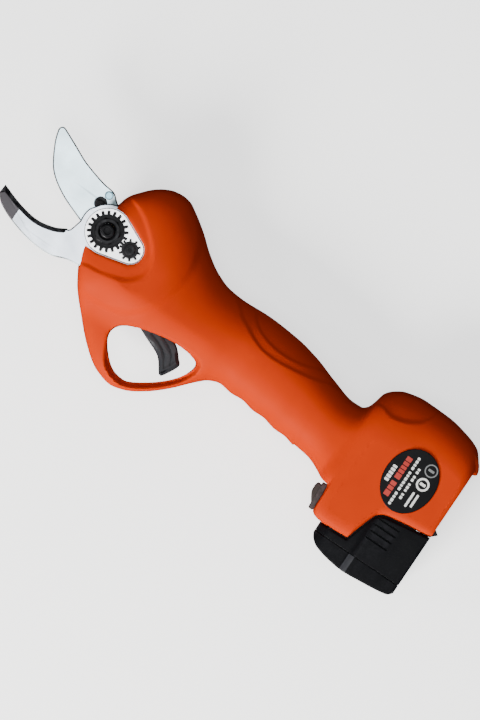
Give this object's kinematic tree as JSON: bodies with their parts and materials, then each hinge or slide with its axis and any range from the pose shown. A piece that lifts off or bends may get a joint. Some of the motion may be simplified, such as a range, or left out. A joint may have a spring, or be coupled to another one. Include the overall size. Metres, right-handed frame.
{
  "type": "battery electric pruner",
  "caption": "Cordless bypass pruner: hooked fixed blade, geared moving blade, orange grip with finger loop and trigger, slide-out battery.",
  "frame": {"origin": "centre of the bounding box, on the plane that the tool rests on as it lies on its right side with its blades open", "axes": "+X from the blades to the tail, +Y to the top of the tool, +Z out of its left side, parallel to the blade pivot"},
  "size_m": [0.3026, 0.1212, 0.052],
  "materials": {
    "casing": "satin moulded orange",
    "black_plastic": "satin moulded black",
    "blade_steel": "fine ground",
    "plate_steel": "satin",
    "black_steel": "black oxide",
    "gear_steel": "hardened, oiled",
    "motor_steel": "nickel plated",
    "copper": "enamelled copper winding",
    "magnet": "dark plated",
    "board_green": "solder mask",
    "cell_wrap": "shrink wrap",
    "bronze": "sintered bronze",
    "label_black": "printed film"
  },
  "bodies": {
    "housing": {"left_casing": "casing", "right_casing": "casing", "casing_screw_1": "black_steel", "casing_screw_2": "black_steel", "casing_screw_3": "black_steel", "casing_screw_4": "black_steel", "casing_screw_5": "black_steel", "casing_screw_6": "black_steel", "casing_screw_7": "black_steel", "casing_screw_8": "black_steel", "label_plate": "label_black", "fixed_blade": "blade_steel", "blade_screw_1": "black_steel", "blade_screw_2": "black_steel", "blade_screw_3": "black_steel", "head_frame": "gear_steel", "pivot_bolt": "black_steel", "pivot_bush": "bronze", "head_plate": "plate_steel", "pinion_bearing": "motor_steel", "gearbox_cap": "motor_steel", "ring_gear": "motor_steel", "motor_can": "motor_steel", "stator": "copper", "motor_end_cap": "black_plastic", "trigger_pin": "gear_steel", "trigger_spring": "gear_steel", "hall_board": "board_green", "switch_housing": "black_plastic", "controller_board": "board_green", "capacitor": "magnet", "terminal_block": "black_plastic"},
    "cutting_blade": {"moving_blade": "blade_steel", "sector_gear": "gear_steel", "drive_screw_1": "black_steel", "drive_screw_2": "black_steel", "drive_screw_3": "black_steel"},
    "pivot_nut": {"lock_nut": "black_steel"},
    "locking_pinion": {"lock_pinion": "black_steel", "lock_screw": "black_steel"},
    "drive_carrier": {"bevel_pinion": "gear_steel", "planet_carrier": "gear_steel"},
    "planet_one": {"planet_1": "gear_steel"},
    "planet_two": {"planet_2": "gear_steel"},
    "planet_three": {"planet_3": "gear_steel"},
    "rotor": {"motor_shaft": "gear_steel", "rotor_magnet": "magnet"},
    "trigger_lever": {"trigger": "black_plastic", "trigger_magnet": "magnet"},
    "rocker": {"power_rocker": "black_plastic"},
    "battery": {"battery_case": "black_plastic", "battery_base": "black_plastic", "cell_1": "cell_wrap", "cell_2": "cell_wrap", "cell_3": "cell_wrap", "cell_4": "cell_wrap", "battery_board": "board_green"},
    "latch": {"battery_latch": "black_plastic"}
  },
  "joints": [
    {"name": "blade_pivot", "type": "hinge", "parent": "housing", "child": "cutting_blade", "pos_m": [-0.09025, 0.02115, 0.0364], "axis": [0, 0, 1], "range_deg": [0, 42]},
    {"name": "nut_turn", "type": "hinge", "parent": "housing", "child": "pivot_nut", "pos_m": [-0.09025, 0.02115, 0.0456], "axis": [0, 0, 1], "range_deg": [-18, 18]},
    {"name": "lock_pinion_turn", "type": "hinge", "parent": "housing", "child": "locking_pinion", "pos_m": [-0.07459, 0.01949, 0.0456], "axis": [0, 0, 1], "range_deg": [-37, 37]},
    {"name": "carrier_spin", "type": "hinge", "parent": "housing", "child": "drive_carrier", "pos_m": [-0.05048, 0.01683, 0.025], "axis": [0.9942, -0.108, 0], "range_deg": [-169, 1]},
    {"name": "planet_one_spin", "type": "hinge", "parent": "drive_carrier", "child": "planet_one", "pos_m": [-0.04463, 0.02443, 0.025], "axis": [0.9942, -0.108, 0], "range_deg": [-1, 463]},
    {"name": "planet_two_spin", "type": "hinge", "parent": "drive_carrier", "child": "planet_two", "pos_m": [-0.04596, 0.01222, 0.03209], "axis": [0.9942, -0.108, 0], "range_deg": [-1, 463]},
    {"name": "planet_three_spin", "type": "hinge", "parent": "drive_carrier", "child": "planet_three", "pos_m": [-0.04596, 0.01222, 0.01791], "axis": [0.9942, -0.108, 0], "range_deg": [-1, 463]},
    {"name": "rotor_spin", "type": "hinge", "parent": "housing", "child": "rotor", "pos_m": [-0.01569, 0.01305, 0.025], "axis": [0.9942, -0.108, 0], "range_deg": [-785, 1]},
    {"name": "trigger_pull", "type": "hinge", "parent": "housing", "child": "trigger_lever", "pos_m": [-0.04425, -0.00635, 0.025], "axis": [0, 0, 1], "range_deg": [0, 12], "stiffness_Nm_per_rad": 0.3, "springref_deg": -14.32, "deforming": ["trigger_spring"]},
    {"name": "power_switch", "type": "hinge", "parent": "housing", "child": "rocker", "pos_m": [0.08631, -0.03365, 0.025], "axis": [0, 0, 1], "range_deg": [-10, 0]},
    {"name": "battery_slide", "type": "slide", "parent": "housing", "child": "battery", "axis": [0, -1, 0], "range_m": [0, 0.09]},
    {"name": "latch_press", "type": "hinge", "parent": "battery", "child": "latch", "pos_m": [0.14345, -0.03585, 0.025], "axis": [0, 0, 1], "range_deg": [0, 6], "stiffness_Nm_per_rad": 0.3, "springref_deg": -8.59}
  ],
  "couplings": [
    {"joint": "carrier_spin", "follows": "blade_pivot", "ratio": -4},
    {"joint": "planet_one_spin", "follows": "blade_pivot", "ratio": 11},
    {"joint": "planet_two_spin", "follows": "blade_pivot", "ratio": 11},
    {"joint": "planet_three_spin", "follows": "blade_pivot", "ratio": 11},
    {"joint": "rotor_spin", "follows": "blade_pivot", "ratio": -18.667},
    {"joint": "lock_pinion_turn", "follows": "nut_turn", "ratio": -2}
  ]
}
